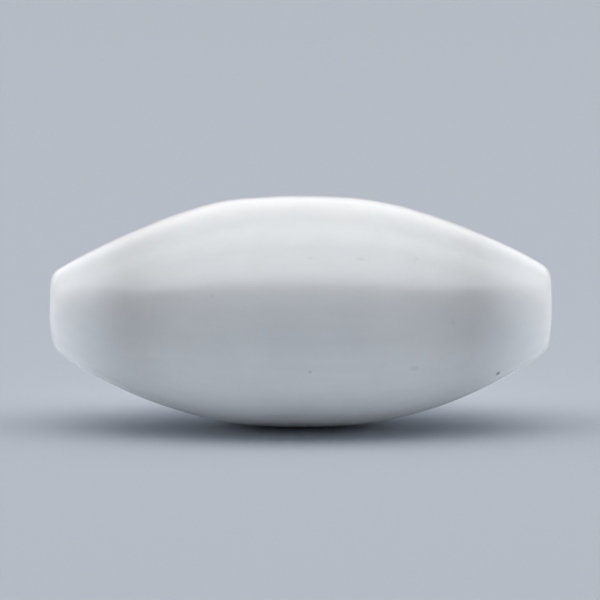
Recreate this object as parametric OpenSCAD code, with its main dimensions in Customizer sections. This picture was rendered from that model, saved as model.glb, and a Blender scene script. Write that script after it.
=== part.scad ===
// Egg-shaped magnetic stir bar, at its real size in millimetres.
//
// A rod magnet is sealed inside a seamless jacket of white fluoropolymer. The jacket is a
// solid of revolution about its long axis: a nearly straight belly, a tighter haunch on each
// side of it, a long shoulder, and a small flat end with a rounded rim. The four arcs of its
// outline meet at tangents.
//
// The bar lies on its belly. +X runs along it, +Z is up, and the origin is the lowest point
// of the belly, which the bar spins on.

/* [Body] */
// Overall length, from one flat end to the other
body_l = 35; // [28:0.5:60]
// Greatest diameter, at the middle of the belly
body_d = 16.2; // [14:0.1:20]

/* [Outline] */
// Radius of the belly's arc, as a multiple of the one arc that would reach from belly to end
belly_flatness = 1.5; // [1.2:0.05:2]
// Share of the half-length that the belly's arc covers
belly_share = 0.18; // [0.1:0.01:0.25]
// Radius of the haunch's arc, as a multiple of that same arc
haunch_flatness = 0.7; // [0.67:0.01:0.9]
// Share of the half-length at which the haunch gives way to the shoulder
haunch_share = 0.45; // [0.35:0.01:0.5]

/* [Ends] */
// Diameter at which the shoulder would meet the flat end if the rim were sharp
end_d = 5.4; // [4:0.1:7]
// Radius of the rounded rim between the shoulder and the flat end
rim_r = 1.2; // [0.3:0.1:1.6]

/* [Magnet] */
// Diameter of the rod magnet
magnet_d = 8; // [5:0.5:9]
// Chamfer around each end of the magnet
magnet_chamfer = 0.4; // [0.1:0.1:0.8]
// Least thickness of the jacket, which it has over the edges of the magnet's ends
least_wall = 1.6; // [0.8:0.1:1.8]

/* [Hidden] */

$fn = 180;
arc_steps = 12; // chords in each arc of the outline

// Places and directions on the outline are [away from the axis, along the axis]. An angle on
// it is the slope of the surface to the axis: 0 at the middle of the belly, 90 on the flat end.
half_l = body_l / 2;
half_r = body_d / 2;
end_r = end_d / 2;

// The one arc that starts level at the belly and would reach the rim
fall = half_r - end_r;
mean_r = (half_l * half_l + fall * fall) / (2 * fall);

// Belly, centred on the middle of the bar
belly_r = belly_flatness * mean_r;
belly_c = [half_r - belly_r, 0];
belly_a = asin(belly_share * half_l / belly_r);

// Haunch, which leaves the belly at a tangent
haunch_r = haunch_flatness * mean_r;
haunch_c = belly_c + (belly_r - haunch_r) * normal(belly_a);
haunch_a = asin((haunch_share * half_l - haunch_c[1]) / haunch_r);

// Shoulder, which leaves the haunch at a tangent and would reach the sharp rim
haunch_end = haunch_c + haunch_r * normal(haunch_a);
to_rim = [end_r, half_l] - haunch_end;
shoulder_r = -(to_rim * to_rim) / (2 * normal(haunch_a) * to_rim);
shoulder_c = haunch_end - shoulder_r * normal(haunch_a);

// Rim, which rolls off the shoulder and runs out on the flat end
shoulder_a = asin((half_l - rim_r - shoulder_c[1]) / (shoulder_r - rim_r));
rim_c = shoulder_c + (shoulder_r - rim_r) * normal(shoulder_a);

// Magnet, which runs out until the shoulder leaves only the least wall over its edge, or
// stops that far short of the flat end
magnet_r = magnet_d / 2;
edge_r = magnet_r + least_wall;
edge_x = shoulder_c[1] + sqrt(pow(shoulder_r, 2) - pow(edge_r - shoulder_c[0], 2));
magnet_half_l = min(edge_x, half_l - least_wall);

function normal(a) = [cos(a), sin(a)];

// Points of the arc of radius r about c, from just after angle a up to angle b
function arc(c, r, a, b) =
    [for (i = [1:arc_steps]) c + r * normal(a + (b - a) * i / arc_steps)];

// Outline from the middle of the belly to the flat end at +X
flank = concat(
    arc(belly_c, belly_r, 0, belly_a),
    arc(haunch_c, haunch_r, belly_a, haunch_a),
    arc(shoulder_c, shoulder_r, haunch_a, shoulder_a),
    arc(rim_c, rim_r, shoulder_a, 90)
);
mirrored_flank = [for (i = [len(flank) - 1:-1:0]) [flank[i][0], -flank[i][1]]];

// Solid of revolution about the X axis, from an outline that ends on that axis
module turned(outline) {
    rotate([0, 90, 0]) rotate_extrude() polygon(outline);
}

// Rod of the magnet, with a chamfer around each end
module magnet_rod() {
    face_r = magnet_r - magnet_chamfer;
    side_x = magnet_half_l - magnet_chamfer;
    turned([
        [0, -magnet_half_l], [face_r, -magnet_half_l], [magnet_r, -side_x],
        [magnet_r, side_x], [face_r, magnet_half_l], [0, magnet_half_l]
    ]);
}

// Seamless jacket, moulded tight around the magnet
module ptfe_jacket() {
    color([0.93, 0.94, 0.95])
        translate([0, 0, half_r]) difference() {
            turned(concat([[0, -half_l]], mirrored_flank, [[half_r, 0]], flank, [[0, half_l]]));
            magnet_rod();
        }
}

// Cast permanent magnet, magnetised from end to end
module bar_magnet() {
    color([0.35, 0.36, 0.38])
        translate([0, 0, half_r]) magnet_rod();
}

ptfe_jacket();
bar_magnet();
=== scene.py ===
"""Looks of an egg-shaped magnetic stir bar: a rod magnet sealed in a moulded white PTFE jacket.

The jacket is turned from the same tangent arcs as the CAD solid, with finer rings, the slight
unevenness of a moulded part and the cavity that the magnet fills. Names that end in _MM are in
millimetres. Angles round the bar are in degrees from straight up, with 90 at the front. Noise is
given as its scale per millimetre, its stretch, its detail and, at times, its roughness.
"""

import math

import bpy
import numpy as np
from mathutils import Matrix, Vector


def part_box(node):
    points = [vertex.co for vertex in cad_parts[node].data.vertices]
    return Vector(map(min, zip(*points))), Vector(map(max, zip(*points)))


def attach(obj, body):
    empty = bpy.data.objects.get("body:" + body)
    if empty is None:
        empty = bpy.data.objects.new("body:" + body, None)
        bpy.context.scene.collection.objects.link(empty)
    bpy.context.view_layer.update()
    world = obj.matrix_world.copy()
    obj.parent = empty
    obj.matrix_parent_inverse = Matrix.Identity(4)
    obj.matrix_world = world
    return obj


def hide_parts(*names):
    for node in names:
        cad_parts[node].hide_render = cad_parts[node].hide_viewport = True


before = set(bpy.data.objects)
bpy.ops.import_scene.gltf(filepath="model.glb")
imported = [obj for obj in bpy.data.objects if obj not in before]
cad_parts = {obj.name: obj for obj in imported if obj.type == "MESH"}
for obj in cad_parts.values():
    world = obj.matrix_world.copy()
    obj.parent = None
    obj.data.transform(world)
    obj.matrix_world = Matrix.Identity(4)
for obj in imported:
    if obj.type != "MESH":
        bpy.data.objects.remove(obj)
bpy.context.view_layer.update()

MM = 0.001
TINY_MM = 1e-6  # lengths under it count as none

# ------------------------------------------------------------------ size, from the CAD frame
# The half lengths and the radii are in millimetres.
jacket_lo, jacket_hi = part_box("ptfe_jacket")
magnet_lo, magnet_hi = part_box("bar_magnet")
HALF_L = (jacket_hi.x - jacket_lo.x) / 2 / MM
HALF_R = (jacket_hi.z - jacket_lo.z) / 2 / MM
AXIS_Z = (jacket_hi.z + jacket_lo.z) / 2  # metres
MAGNET_HALF_L = (magnet_hi.x - magnet_lo.x) / 2 / MM
MAGNET_R = (magnet_hi.z - magnet_lo.z) / 2 / MM

# The outline's proportions and small sizes, as in the CAD source.
BELLY_FLATNESS = 1.5
BELLY_SHARE = 0.18
HAUNCH_FLATNESS = 0.7
HAUNCH_SHARE = 0.45
END_D_MM = 5.4
RIM_R_MM = 1.2
MAGNET_CHAMFER_MM = 0.4

SEGMENTS = 224  # round the jacket
CAVITY_SEGMENTS = 96
RING_STEP_MM = 0.2  # between rings on the flanks
RIM_STEPS = 14
FLAT_RINGS = 8  # across each flat end
SHARP_ANGLE = 35  # degrees, from which an edge is shaded sharp

# Unevenness of the moulded wall: place along the bar, angle round it, reach along in mm,
# reach round in degrees, and height in mm, minus for a hollow.
UNEVEN = (
    (-12.6, 0, 4.6, 60, -0.145),
    (-5.5, 0, 1.5, 45, 0.055),
    (17.2, 0, 4.4, 70, 0.235),
    (-10.9, 180, 2.6, 50, 0.045),
    (-17.2, 180, 1.3, 60, -0.17),
    (10.4, 180, 3.7, 50, 0.125),
    (17.2, 180, 1.4, 60, -0.07),
)
END_LEAN_MM = 0.10  # how far the flat ends lean in at their lower edge
END_LEAN_SPAN_MM = 2.2  # from the axis down to where the lean is full
END_LEAN_FROM = 0.93  # share of the half length where the lean starts


# ------------------------------------------------------------------ the jacket's shape
def normal(angle):
    """The outline's outward direction, as radius and place along, at that slope."""
    return np.array([math.cos(angle), math.sin(angle)])


def half_outline():
    """The outline from the middle to the end's centre, and the radius of the flat end.

    Each row of the outline is a radius and a place along the bar, in mm.
    """
    end_r = END_D_MM / 2
    fall = HALF_R - end_r
    mean_r = (HALF_L**2 + fall**2) / (2 * fall)
    belly_r = BELLY_FLATNESS * mean_r
    belly_c = np.array([HALF_R - belly_r, 0.0])
    belly_a = math.asin(BELLY_SHARE * HALF_L / belly_r)
    haunch_r = HAUNCH_FLATNESS * mean_r
    haunch_c = belly_c + (belly_r - haunch_r) * normal(belly_a)
    haunch_a = math.asin((HAUNCH_SHARE * HALF_L - haunch_c[1]) / haunch_r)
    haunch_end = haunch_c + haunch_r * normal(haunch_a)
    to_rim = np.array([end_r, HALF_L]) - haunch_end
    shoulder_r = -(to_rim @ to_rim) / (2 * normal(haunch_a) @ to_rim)
    shoulder_c = haunch_end - shoulder_r * normal(haunch_a)
    shoulder_a = math.asin((HALF_L - RIM_R_MM - shoulder_c[1]) / (shoulder_r - RIM_R_MM))
    rim_c = shoulder_c + (shoulder_r - RIM_R_MM) * normal(shoulder_a)
    points = [np.array([HALF_R, 0.0])]
    for centre, radius, start, stop, steps in (
        (belly_c, belly_r, 0.0, belly_a, None),
        (haunch_c, haunch_r, belly_a, haunch_a, None),
        (shoulder_c, shoulder_r, haunch_a, shoulder_a, None),
        (rim_c, RIM_R_MM, shoulder_a, math.pi / 2, RIM_STEPS),
    ):
        count = steps or max(2, round(radius * (stop - start) / RING_STEP_MM))
        turns = [start + (stop - start) * i / count for i in range(1, count + 1)]
        points += [centre + radius * normal(turn) for turn in turns]
    flat_r = points[-1][0]
    shares = [1 - i / (FLAT_RINGS + 1) for i in range(1, FLAT_RINGS + 1)]
    points += [np.array([flat_r * share, HALF_L]) for share in shares]
    return np.array(points), flat_r


def mirrored(half):
    """The outline of the whole bar, from one end to the other."""
    return np.vstack([half[:0:-1] * [1, -1], half])


def lathe(rings, segments):
    """The corners and faces of a closed surface, turned from rings of radius and place along.

    The corners are in mm from the bar's centre. The last two close the ends.
    """
    turn = np.arange(segments) * 2 * math.pi / segments
    radius, along = rings[:, 0][:, None], rings[:, 1][:, None]
    corners = np.stack(
        [along + 0 * turn, -radius * np.sin(turn), radius * np.cos(turn)], -1
    ).reshape(-1, 3)
    faces = []
    for i in range(len(rings) - 1):
        here, there = i * segments, (i + 1) * segments
        for j in range(segments):
            k = (j + 1) % segments
            faces.append((here + j, here + k, there + k, there + j))
    low, high = len(corners), len(corners) + 1
    last = (len(rings) - 1) * segments
    for j in range(segments):
        k = (j + 1) % segments
        faces.append((low, k, j))
        faces.append((high, last + j, last + k))
    poles = [[rings[0, 1], 0, 0], [rings[-1, 1], 0, 0]]
    return np.vstack([corners, poles]), faces


def smooth_step(value):
    value = np.clip(value, 0, 1)
    return value * value * (3 - 2 * value)


def unevened(corners, flat_r):
    """The corners, moved by the wall's small hollows and swellings and the flat ends' lean."""
    x, y, z = corners.T.copy()
    radius = np.hypot(y, z)
    round_it = np.arctan2(-y, z)
    lift = np.zeros(len(x))
    for place, angle, reach, spread, height in UNEVEN:
        away = np.angle(np.exp(1j * (round_it - math.radians(angle))))
        window = np.exp(-((away / math.radians(spread)) ** 2))
        lift += height * np.exp(-(((x - place) / reach) ** 2)) * window
    on_flat = np.abs(x) > HALF_L - TINY_MM
    lift *= np.where(on_flat, np.minimum(radius / flat_r, 1), 1)
    grown = 1 + lift / np.maximum(radius, TINY_MM)
    near_end = smooth_step((np.abs(x) / HALF_L - END_LEAN_FROM) / (1 - END_LEAN_FROM))
    lean = END_LEAN_MM * smooth_step(-z / END_LEAN_SPAN_MM) * near_end
    return np.stack([x - np.sign(x) * lean, y * grown, z * grown], -1)


def turned_jacket():
    """The jacket as one mesh of two closed surfaces: its outside and its cavity."""
    half, flat_r = half_outline()
    outside, faces = lathe(mirrored(half), SEGMENTS)
    outside = unevened(outside, flat_r)
    chamfer = MAGNET_CHAMFER_MM
    cavity_half = np.array(
        [
            [MAGNET_R, 0],
            [MAGNET_R, MAGNET_HALF_L - chamfer],
            [MAGNET_R - chamfer, MAGNET_HALF_L],
        ]
    )
    inside, inner_faces = lathe(mirrored(cavity_half), CAVITY_SEGMENTS)
    start = len(outside)
    faces += [tuple(start + i for i in reversed(face)) for face in inner_faces]
    corners = np.vstack([outside, inside]) * MM + [0, 0, AXIS_Z]
    mesh = bpy.data.meshes.new("moulded_jacket")
    mesh.from_pydata(corners.tolist(), [], faces)
    mesh.validate()
    mesh.shade_smooth()
    mesh.set_sharp_from_angle(angle=math.radians(SHARP_ANGLE))
    jacket = bpy.data.objects.new("moulded_jacket", mesh)
    bpy.context.scene.collection.objects.link(jacket)
    return jacket


# ------------------------------------------------------------------ node trees
class Tree:
    """Short calls for building a node tree."""

    def __init__(self, owner):
        owner.use_nodes = True
        self.tree = owner.node_tree
        self.tree.nodes.clear()

    def add(self, kind, inputs=(), **settings):
        node = self.tree.nodes.new(kind)
        for key, value in settings.items():
            setattr(node, key, value)
        for key, value in dict(inputs).items():
            socket = node.inputs[key]
            if isinstance(value, bpy.types.NodeSocket):
                self.tree.links.new(value, socket)
            else:
                socket.default_value = value
        return node

    def math(self, operation, *values):
        return self.add("ShaderNodeMath", enumerate(values), operation=operation).outputs[0]

    def vector(self, operation, *values):
        return self.add("ShaderNodeVectorMath", enumerate(values), operation=operation).outputs[0]

    def length(self, value):
        return self.add("ShaderNodeVectorMath", {0: value}, operation="LENGTH").outputs["Value"]

    def place_in_mm(self):
        """The place in the row frame, in mm."""
        place = self.vector("SCALE", self.add("ShaderNodeTexCoord").outputs["Object"])
        place.node.inputs["Scale"].default_value = 1 / MM
        return place

    def ramp(self, value, low, high, to_low=0.0, to_high=1.0):
        """A smooth step from to_low, at low and before it, to to_high, at high and past it."""
        inputs = {"Value": value, "From Min": low, "From Max": high}
        inputs |= {"To Min": to_low, "To Max": to_high}
        made = self.add("ShaderNodeMapRange", inputs, interpolation_type="SMOOTHSTEP", clamp=True)
        return made.outputs["Result"]

    def blend(self, share, low, high):
        """From one colour to the other; 6 and 7 are the node's colour sockets."""
        return self.add("ShaderNodeMix", {0: share, 6: low, 7: high}, data_type="RGBA").outputs[2]

    def noise(self, place, scale, stretch, detail, rough=0.5):
        stretched = self.vector("MULTIPLY", place, stretch)
        inputs = {"Vector": stretched, "Scale": scale, "Detail": detail, "Roughness": rough}
        return self.add("ShaderNodeTexNoise", inputs, noise_dimensions="3D").outputs["Fac"]


# ------------------------------------------------------------------ materials
def surface_place(turned_angle, along):
    """The place on the jacket at that angle round it, in mm, in the row frame."""
    wall_radius, wall_along = half_outline()[0][:-FLAT_RINGS].T
    radius = np.interp(abs(along), wall_along, wall_radius)
    a = math.radians(turned_angle)
    return (along, -radius * math.sin(a), AXIS_Z / MM + radius * math.cos(a))


PTFE_WHITE = (0.882, 0.916, 0.965)
PTFE_ROUGHNESS = 0.22  # from about 0.27 on, the denoiser leaves bright flecks
PTFE_IOR = 1.5
SCATTER = 0.0065  # metres

# The magnet shows grey through the jacket, most where the wall over it is thin. The offset adds painted
# shade: it puts the darkest part towards the front, as in the photo.
GREY_THROUGH = 0.30  # how much darker the jacket would be where the wall has no thickness
GREY_REACH_MM = 1.8
# painted shade: moves the magnet's grey towards the front side
PAINTED_SHADE_OFFSET_MM = (0.0, -1.4, -0.1)
GREY_ROUND_MM = 1.5  # how far short of the magnet's ends the shade starts to round off

# A faint band of painted shade along the front, set to match the photo.
PAINTED_BAND_DARK = 0.05
BAND_RISE_MM = 1.0  # its middle line above the axis
BAND_EDGE_MM = (1.5, 3.2)  # from that line, up or down: where it starts to fade and where it ends
BAND_END_MM = (11.5, 15.0)  # the same along the bar, from its middle
BAND_BACK_MM = (-4.5, -0.5)  # the same from front to back

# Specks in the moulding: place along, angle, size along and round in mm, and how dark.
SPECKS = (
    (13.75, 143, 0.15, 0.28, 0.55),
    (0.65, 111, 0.11, 0.11, 0.22),
    (7.86, 113.6, 0.34, 0.20, 0.10),
    (10.5, 87, 0.22, 0.18, 0.06),
    (4.15, 53, 0.26, 0.12, 0.07),
    (8.0, 49, 0.16, 0.12, 0.06),
    (0.65, 53, 0.22, 0.12, 0.05),
    (-6.1, 72, 0.18, 0.18, 0.06),
)
SPECK_EDGE = (0.45, 1.35)  # where a speck starts to fade and where it ends, in its own sizes

NOISE_SPAN = (0.3, 0.7)  # the values of a noise that its ramp is stretched over
MOTTLE = (0.35, (1, 1, 1), 3.0)
MOTTLE_TONE = (0.985, 1.012)
MOTTLE_ROUGHNESS = (-0.02, 0.03)
STREAK = (1.5, (0.07, 1, 1), 3.0)
STREAK_TONE = (0.99, 1.008)
STREAK_ROUGHNESS = (-0.015, 0.015)
PEEL = (0.9, (0.45, 1, 1), 2.0)
GRAIN = (9.0, (0.6, 1, 1), 3.0)
GRAIN_SHARE = 0.05
PTFE_RELIEF = 5e-6  # metres


def magnet_grey_and_painted_shade(t, place):
    """How much darker the jacket is over the magnet, as a share: the magnet's grey through the wall,
    and painted shade that the offset puts on the front side.
    """
    core = Vector(PAINTED_SHADE_OFFSET_MM) + Vector((0, 0, AXIS_Z / MM))
    from_core = t.vector("SUBTRACT", place, core)
    along_core = t.math("ABSOLUTE", t.add("ShaderNodeSeparateXYZ", {0: from_core}).outputs["X"])
    from_axis = t.length(t.vector("MULTIPLY", from_core, (0, 1, 1)))
    past_end = t.math("SUBTRACT", along_core, MAGNET_HALF_L - GREY_ROUND_MM)
    past_end = t.math("MAXIMUM", past_end, 0.0)
    flat_place = t.add("ShaderNodeCombineXYZ", {"X": past_end, "Y": from_axis}).outputs[0]
    wall = t.math("MAXIMUM", t.math("SUBTRACT", t.length(flat_place), MAGNET_R), 0.0)
    through = t.math("EXPONENT", t.math("DIVIDE", wall, -GREY_REACH_MM))
    return t.math("MULTIPLY", through, GREY_THROUGH)


def painted_front_shade(t, place):
    """How much darker the jacket is in the band of painted shade along its front, as a share."""
    from_middle = t.vector("SUBTRACT", place, (0, 0, AXIS_Z / MM + BAND_RISE_MM))
    off = t.add("ShaderNodeSeparateXYZ", {0: from_middle}).outputs
    band = t.ramp(t.math("ABSOLUTE", off["Z"]), *BAND_EDGE_MM, PAINTED_BAND_DARK, 0.0)
    ends = t.ramp(t.math("ABSOLUTE", off["X"]), *BAND_END_MM, 1.0, 0.0)
    front = t.ramp(off["Y"], *BAND_BACK_MM, 1.0, 0.0)
    return t.math("MULTIPLY", t.math("MULTIPLY", band, ends), front)


def ptfe():
    """Moulded white PTFE: translucent, with the magnet's grey, painted shade on and along the front,
    specks, mottle and streaks.
    """
    material = bpy.data.materials.new("ptfe_white")
    t = Tree(material)
    place = t.place_in_mm()
    # the magnet's grey through the wall, with painted shade on the front side
    tone = t.math("SUBTRACT", 1.0, magnet_grey_and_painted_shade(t, place))
    # a band of painted shade along the front
    tone = t.math("SUBTRACT", tone, painted_front_shade(t, place))
    for along, angle, size_along, size_round, dark in SPECKS:
        to_size = (1 / size_along, 1 / size_round, 1 / size_round)
        from_speck = t.vector("SUBTRACT", place, surface_place(angle, along))
        away = t.length(t.vector("MULTIPLY", from_speck, to_size))
        tone = t.math("MULTIPLY", tone, t.ramp(away, *SPECK_EDGE, 1 - dark, 1.0))
    mottle = t.noise(place, *MOTTLE)
    streak = t.noise(place, *STREAK)
    tone = t.math("MULTIPLY", tone, t.ramp(mottle, *NOISE_SPAN, *MOTTLE_TONE))
    tone = t.math("MULTIPLY", tone, t.ramp(streak, *NOISE_SPAN, *STREAK_TONE))
    colour = t.vector("SCALE", PTFE_WHITE)
    t.tree.links.new(tone, colour.node.inputs["Scale"])
    grain = t.math("MULTIPLY", t.noise(place, *GRAIN), GRAIN_SHARE)
    relief = t.math("ADD", t.noise(place, *PEEL), grain)
    bump = t.add("ShaderNodeBump", {"Strength": 1.0, "Distance": PTFE_RELIEF, "Height": relief})
    mottle_roughness = t.ramp(mottle, *NOISE_SPAN, *MOTTLE_ROUGHNESS)
    streak_roughness = t.ramp(streak, *NOISE_SPAN, *STREAK_ROUGHNESS)
    roughness = t.math("ADD", mottle_roughness, streak_roughness)
    shader = t.add(
        "ShaderNodeBsdfPrincipled",
        {
            "Base Color": colour,
            "Roughness": t.math("ADD", roughness, PTFE_ROUGHNESS),
            "IOR": PTFE_IOR,
            "Subsurface Weight": 1.0,
            "Subsurface Radius": (1.0, 1.0, 1.0),
            "Subsurface Scale": SCATTER,
            "Normal": bump.outputs["Normal"],
        },
    )
    t.add("ShaderNodeOutputMaterial", {"Surface": shader.outputs["BSDF"]})
    return material


ALLOY_DARK = (0.235, 0.235, 0.245, 1)
ALLOY_LIGHT = (0.40, 0.405, 0.42, 1)
ALLOY_PIT = (0.085, 0.075, 0.068, 1)
ALLOY_GRAIN_SCALE = 0.9
ALLOY_GRAIN_SHARE = 0.45
ALLOY_CLOUD = (0.6, (1, 1, 1), 4.0)
ALLOY_CLOUD_SHARE = 0.55
ALLOY_LINES = (2.2, (6, 0.25, 0.25), 4.0)
ALLOY_LINES_HEIGHT = 0.6  # as a share of a pit's depth
ALLOY_LINES_ROUGHNESS = (-0.08, 0.08)
ALLOY_PITS = (2.6, (1, 1, 1), 5.0, 0.6)
ALLOY_PITS_SPAN = (0.66, 0.74)
ALLOY_ROUGHNESS = (0.42, 0.8)  # between the pits and in them
ALLOY_RELIEF = 3e-5  # metres


def alloy():
    """Cast magnet alloy: coarse grains and small pits, with grinding lines round the sides."""
    material = bpy.data.materials.new("cast_alloy")
    t = Tree(material)
    place = t.place_in_mm()
    cell_inputs = {"Vector": place, "Scale": ALLOY_GRAIN_SCALE}
    cells = t.add("ShaderNodeTexVoronoi", cell_inputs).outputs["Color"]
    grain = t.add("ShaderNodeSeparateColor", {0: cells}).outputs[0]
    cloud = t.noise(place, *ALLOY_CLOUD)
    lines = t.noise(place, *ALLOY_LINES)
    pits = t.ramp(t.noise(place, *ALLOY_PITS), *ALLOY_PITS_SPAN)
    grain_shade = t.math("MULTIPLY", grain, ALLOY_GRAIN_SHARE)
    shade = t.math("ADD", grain_shade, t.math("MULTIPLY", cloud, ALLOY_CLOUD_SHARE))
    colour = t.blend(pits, t.blend(shade, ALLOY_DARK, ALLOY_LIGHT), ALLOY_PIT)
    relief = t.math("SUBTRACT", t.math("MULTIPLY", lines, ALLOY_LINES_HEIGHT), pits)
    bump = t.add("ShaderNodeBump", {"Strength": 1.0, "Distance": ALLOY_RELIEF, "Height": relief})
    lines_roughness = t.ramp(lines, *NOISE_SPAN, *ALLOY_LINES_ROUGHNESS)
    shader = t.add(
        "ShaderNodeBsdfPrincipled",
        {
            "Base Color": colour,
            "Metallic": 1.0,
            "Roughness": t.math("ADD", lines_roughness, t.ramp(pits, 0.0, 1.0, *ALLOY_ROUGHNESS)),
            "Normal": bump.outputs["Normal"],
        },
    )
    t.add("ShaderNodeOutputMaterial", {"Surface": shader.outputs["BSDF"]})
    return material


# ------------------------------------------------------------------ the object
jacket = turned_jacket()
jacket.data.materials.append(ptfe())
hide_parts("ptfe_jacket")
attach(jacket, "root")

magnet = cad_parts["bar_magnet"]
magnet.data.materials.clear()
magnet.data.materials.append(alloy())

# ------------------------------------------------------------------ floor and studio light
FLOOR_HALF = 6.0  # metres
FLOOR_BOUNCE = (0.755, 0.79, 0.835, 1)  # the colour of the light that it throws back
FLOOR_SEEN = (0.47, 0.505, 0.56, 1)  # its colour to the camera and in reflections


def pale_floor():
    mesh = bpy.data.meshes.new("studio_floor")
    h = FLOOR_HALF
    mesh.from_pydata([(-h, -h, 0), (h, -h, 0), (h, h, 0), (-h, h, 0)], [], [(0, 1, 2, 3)])
    floor = bpy.data.objects.new("studio_floor", mesh)
    bpy.context.scene.collection.objects.link(floor)
    material = bpy.data.materials.new("studio_floor")
    t = Tree(material)
    path = t.add("ShaderNodeLightPath").outputs
    seen = t.math("MAXIMUM", path["Is Camera Ray"], path["Is Glossy Ray"])
    seen = t.math("MAXIMUM", seen, path["Is Transmission Ray"])
    bounce = t.add("ShaderNodeBsdfDiffuse", {"Color": FLOOR_BOUNCE})
    shown = t.add("ShaderNodeBsdfDiffuse", {"Color": FLOOR_SEEN})
    mix = t.add("ShaderNodeMixShader", {0: seen, 1: bounce.outputs[0], 2: shown.outputs[0]})
    t.add("ShaderNodeOutputMaterial", {"Surface": mix.outputs[0]})
    mesh.materials.append(material)


def lamp(name, place, facing, size, radiance, works_in):
    """A rectangular soft lamp of that radiance, which lights colour, or shows in the gloss, or both."""
    data = bpy.data.lights.new(name, "AREA")
    data.shape = "RECTANGLE"
    data.size, data.size_y = size
    data.energy = radiance * math.pi * size[0] * size[1]
    made = bpy.data.objects.new(name, data)
    made.location = place
    made.rotation_mode = "QUATERNION"
    made.rotation_quaternion = Vector(facing).to_track_quat("-Z", "Y")
    made.visible_camera = False
    made.visible_diffuse = "colour" in works_in
    made.visible_glossy = "gloss" in works_in
    bpy.context.scene.collection.objects.link(made)


CARD_DISTANCE = 1.5  # metres
COLOUR, GLOSS, BOTH = ("colour",), ("gloss",), ("colour", "gloss")


def ceiling_box(name, height, half_width, near, far, radiance, works_in=BOTH):
    """A soft box over the bar that faces down, from near to far along +Y, in metres."""
    size = (2 * half_width, far - near)
    lamp(name, (0, (near + far) / 2, height), (0, 0, -1), size, radiance, works_in)


def card(name, azimuth, width, low, high, radiance, works_in=BOTH):
    """A soft card that faces the bar, placed by angles from the bar, in degrees.

    The azimuth counts from the camera, and low and high are its edges above the floor.
    """
    a, e = math.radians(azimuth), math.radians((low + high) / 2)
    out = Vector((math.sin(a) * math.cos(e), -math.cos(a) * math.cos(e), math.sin(e)))
    across = 2 * CARD_DISTANCE * math.cos(e) * math.tan(math.radians(width) / 2)
    tall = 2 * CARD_DISTANCE * math.tan(math.radians(high - low) / 2)
    lamp(name, out * CARD_DISTANCE, -out, (across, tall), radiance, works_in)


pale_floor()
ceiling_box("softbox_wide", 1.0, 1.6, -0.5, 0.3, 0.72)
ceiling_box("softbox_key", 0.97, 1.2, -0.36, 0.24, 1.8)
ceiling_box("softbox_back", 0.99, 1.0, 0.25, 1.2, 0.75)
ceiling_box("gleam_front", 0.94, 1.22, -1.19, -0.40, 3.5, GLOSS)
card("card_back", 180, 88, 4, 36, 0.4)
card("gleam_back", 180, 88, 15, 44, 1.1, GLOSS)
for side, word in ((-1, "left"), (1, "right")):
    card("card_" + word, 98 * side, 46, 0, 24, 2.6, COLOUR)
    card("gleam_" + word, 98 * side, 46, 0, 24, 0.8, GLOSS)

WORLD_FILL = (0.0, 0.0, 0.0, 1)
WORLD_SEEN = (0.62, 0.63, 0.64, 1)  # to the camera, past the floor's edge


def studio_world():
    world = bpy.data.worlds.new("studio")
    bpy.context.scene.world = world
    t = Tree(world)
    path = t.add("ShaderNodeLightPath").outputs
    fill = t.add("ShaderNodeBackground", {"Color": WORLD_FILL, "Strength": 1.0}).outputs[0]
    seen = t.add("ShaderNodeBackground", {"Color": WORLD_SEEN, "Strength": 1.0}).outputs[0]
    mix = t.add("ShaderNodeMixShader", {0: path["Is Camera Ray"], 1: fill, 2: seen})
    t.add("ShaderNodeOutputWorld", {"Surface": mix.outputs[0]})


studio_world()

# ------------------------------------------------------------------ camera
VIEW_ELEVATION = math.radians(10)
VIEW_DISTANCE = 0.45  # metres, like the rest here but the sensor's width
VIEW_CLIP = (0.01, 20)
FRAME_WIDTH = 0.04203  # across the frame at the bar
AIM_X = -0.00005
AIM_LIFT = 0.00079  # from the bar's axis up to the middle of the frame
SENSOR_WIDTH = 36

back = Vector((0, -math.cos(VIEW_ELEVATION), math.sin(VIEW_ELEVATION)))
up = Vector((0, math.sin(VIEW_ELEVATION), math.cos(VIEW_ELEVATION)))
camera_data = bpy.data.cameras.new("view")
camera_data.sensor_width = SENSOR_WIDTH
camera_data.lens = SENSOR_WIDTH * VIEW_DISTANCE / FRAME_WIDTH
camera_data.clip_start, camera_data.clip_end = VIEW_CLIP
camera = bpy.data.objects.new("view", camera_data)
camera.rotation_mode = "QUATERNION"
camera.location = Vector((AIM_X, 0, AXIS_Z)) + up * AIM_LIFT + back * VIEW_DISTANCE
camera.rotation_quaternion = (-back).to_track_quat("-Z", "Y")
bpy.context.scene.collection.objects.link(camera)
bpy.context.scene.camera = camera
bpy.context.scene.view_settings.view_transform = "Standard"
